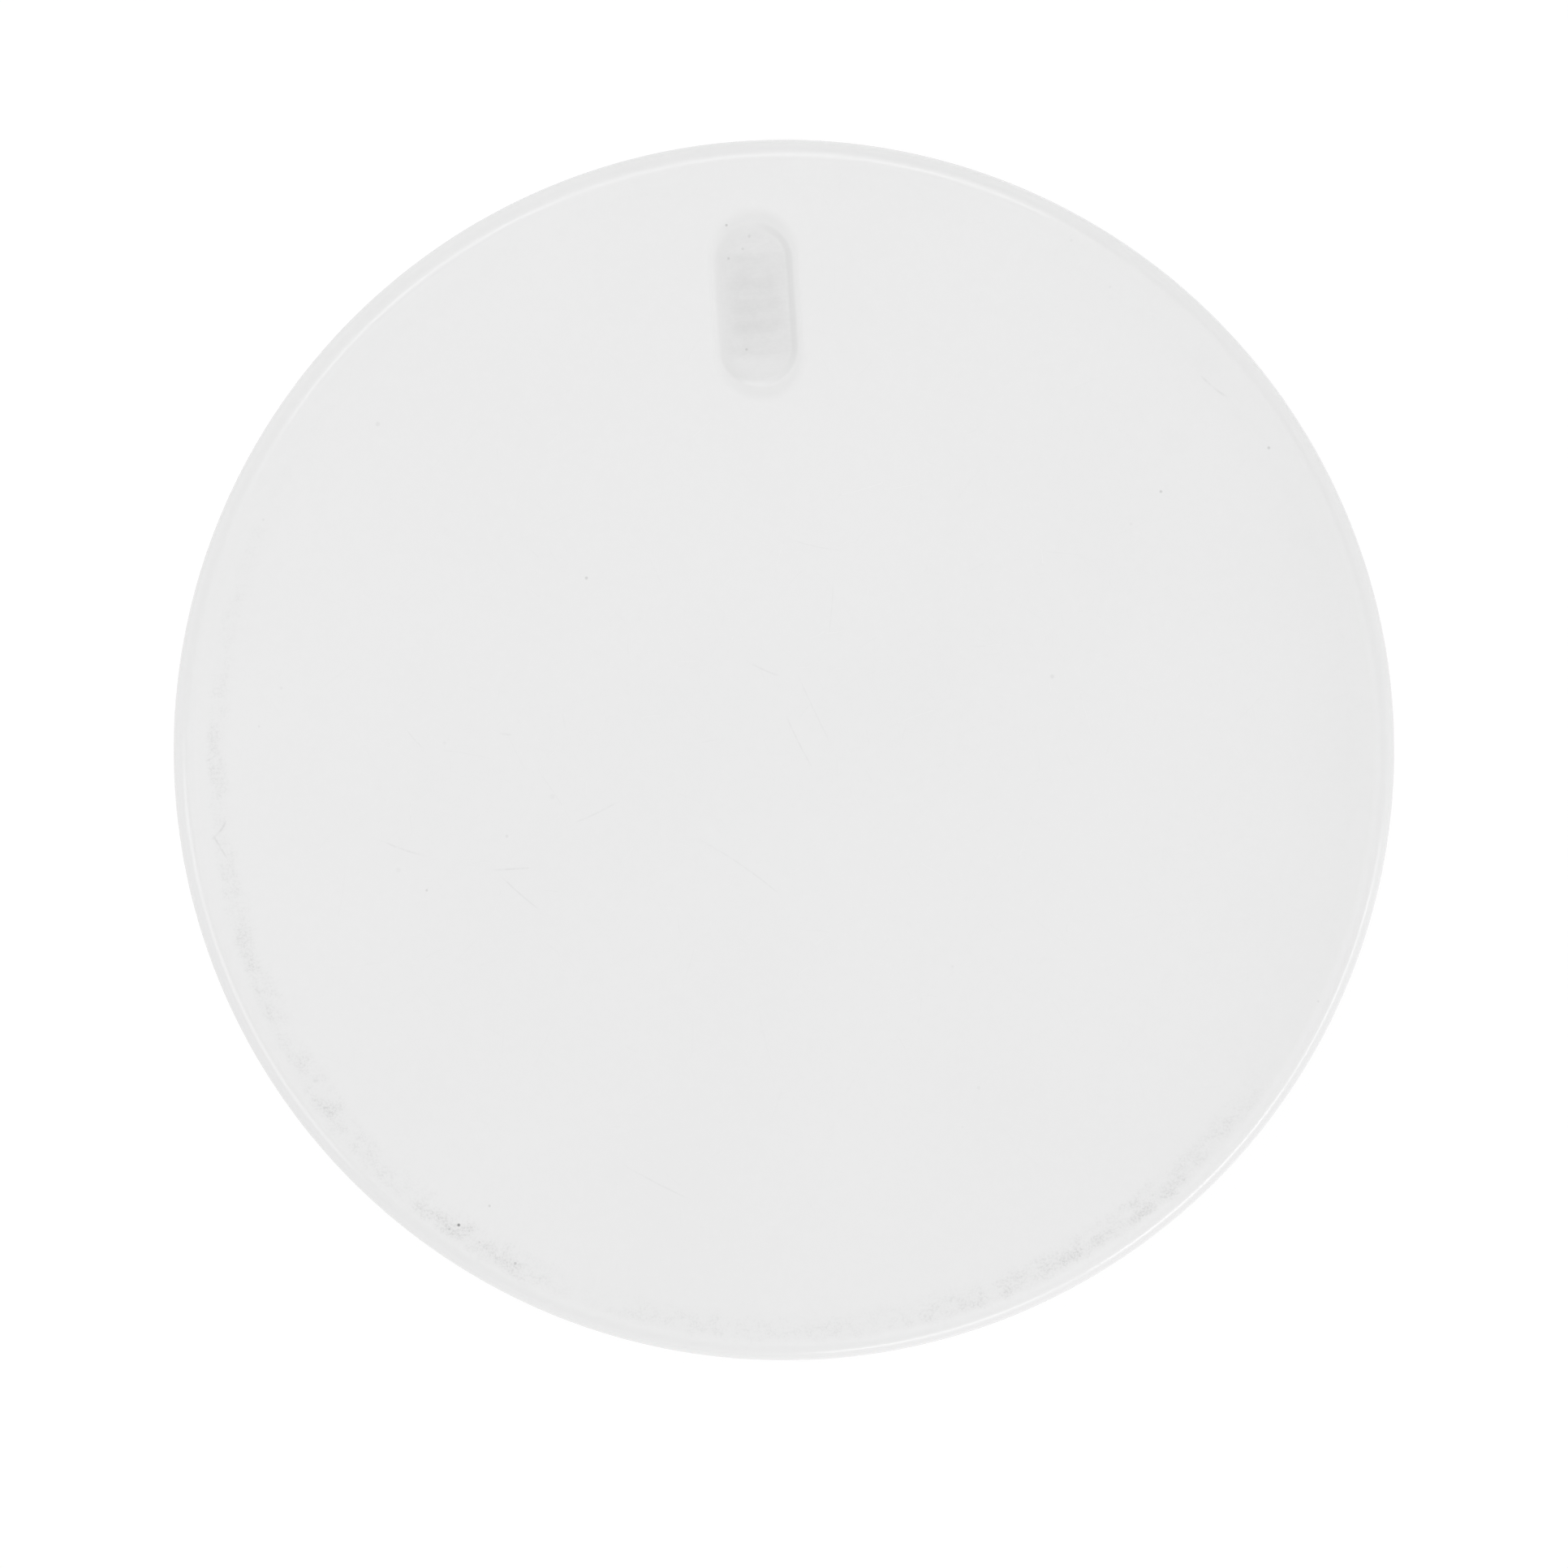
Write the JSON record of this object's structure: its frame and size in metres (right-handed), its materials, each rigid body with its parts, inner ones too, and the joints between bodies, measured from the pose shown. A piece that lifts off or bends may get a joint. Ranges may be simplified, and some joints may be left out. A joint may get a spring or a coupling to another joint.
{
  "type": "dealer button",
  "caption": "Flat round white marker disc with rounded rims: a plain dished face with a small capsule-shaped recess, and a reverse with paint-filled card suits.",
  "frame": {"origin": "middle of the flat ring that the button rests on, marked face down", "axes": "+Z out of the plain face; +Y from the middle towards the gate recess in the plain face"},
  "size_m": [0.05, 0.05, 0.008],
  "materials": {
    "shell_plastic": "polished white moulding with fine handling scratches",
    "weight_steel": "turned",
    "damping_foam": "closed-cell foam",
    "black_paint": "satin enamel",
    "red_paint": "satin enamel"
  },
  "bodies": {
    "root": {"plain_face_shell": "shell_plastic", "marked_face_shell": "shell_plastic", "ring_weight": "weight_steel", "foam_ring": "damping_foam", "border_fill": "black_paint", "spade_fill": "black_paint", "club_fill": "black_paint", "heart_fill": "red_paint", "diamond_fill": "red_paint"}
  },
  "joints": []
}
